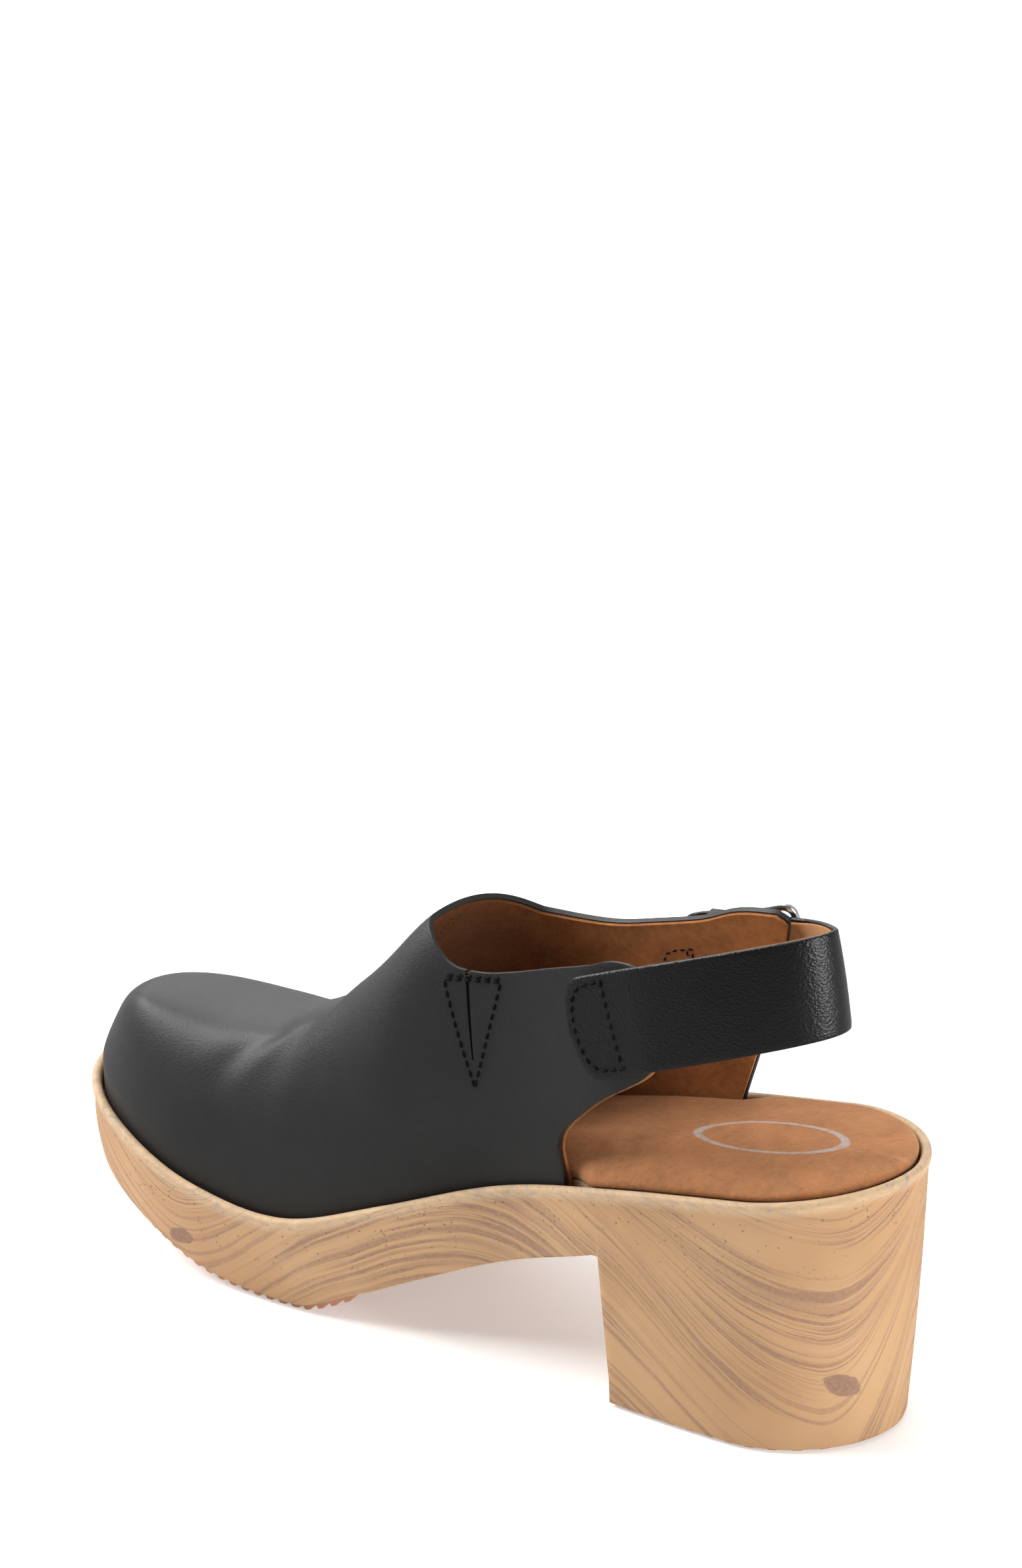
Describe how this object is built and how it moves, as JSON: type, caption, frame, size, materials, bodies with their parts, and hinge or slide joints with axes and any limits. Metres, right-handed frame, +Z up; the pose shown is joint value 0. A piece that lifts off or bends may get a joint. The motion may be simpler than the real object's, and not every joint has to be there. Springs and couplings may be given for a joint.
{
  "type": "slingback clog",
  "caption": "Right-foot slingback clog: wood-look platform sole with a block heel, closed black leather upper, padded suede footbed and a buckled heel strap.",
  "frame": {"origin": "on the ground, under the middle of the heel's tread (the ground_rest mount)", "axes": "+Z up, +Y towards the back of the heel so the toe points to -Y, +X to the inner (medial) side of this right shoe"},
  "size_m": [0.086, 0.2491, 0.14],
  "materials": {
    "wood_look_pu": "moulded, wood grain print, satin",
    "heel_plastic": "moulded",
    "tread_rubber": "matte, ribbed",
    "board": "fibre board",
    "spring_steel": "rolled",
    "filler_cork": "cork sheet",
    "foam": "soft foam",
    "tan_suede": "napped suede",
    "black_leather": "smooth, soft sheen",
    "stiffener": "resin-stiffened cloth",
    "black_elastic": "ribbed elastic",
    "nylon_tape": "woven tape",
    "black_thread": "waxed thread",
    "nickel": "polished nickel plate"
  },
  "bodies": {
    "shoe": {"sole_unit": "wood_look_pu", "heel_core": "heel_plastic", "heel_tread": "tread_rubber", "forefoot_tread": "tread_rubber", "insole_board": "board", "shank": "spring_steel", "shank_rivets": "spring_steel", "bottom_filler": "filler_cork", "footbed_foam": "foam", "sock_cover": "tan_suede", "upper_leather": "black_leather", "toe_puff": "stiffener", "gore_elastic": "black_elastic", "lining_inner": "tan_suede", "lining_outer": "tan_suede"},
    "heel_strap": {"strap_leather": "black_leather", "strap_tape": "nylon_tape", "strap_lining": "tan_suede", "strap_stitching": "black_thread", "buckle_chape": "black_leather", "chape_stitching": "black_thread", "keeper_loop": "black_leather"},
    "buckle": {"buckle_frame": "nickel"},
    "prong": {"buckle_prong": "nickel"}
  },
  "joints": [
    {"name": "strap_swing", "type": "hinge", "parent": "shoe", "child": "heel_strap", "pos_m": [0, -0.0435, 0.1064], "axis": [1, 0, 0], "range_deg": [-8, 8]},
    {"name": "buckle_lift", "type": "hinge", "parent": "heel_strap", "child": "buckle", "pos_m": [-0.02919, -0.03126, 0.10372], "axis": [0.3007, -0.1722, 0.938], "range_deg": [0, 15]},
    {"name": "prong_lift", "type": "hinge", "parent": "buckle", "child": "prong", "pos_m": [-0.02919, -0.03126, 0.10372], "axis": [0.3007, -0.1722, 0.938], "range_deg": [0, 45]}
  ]
}
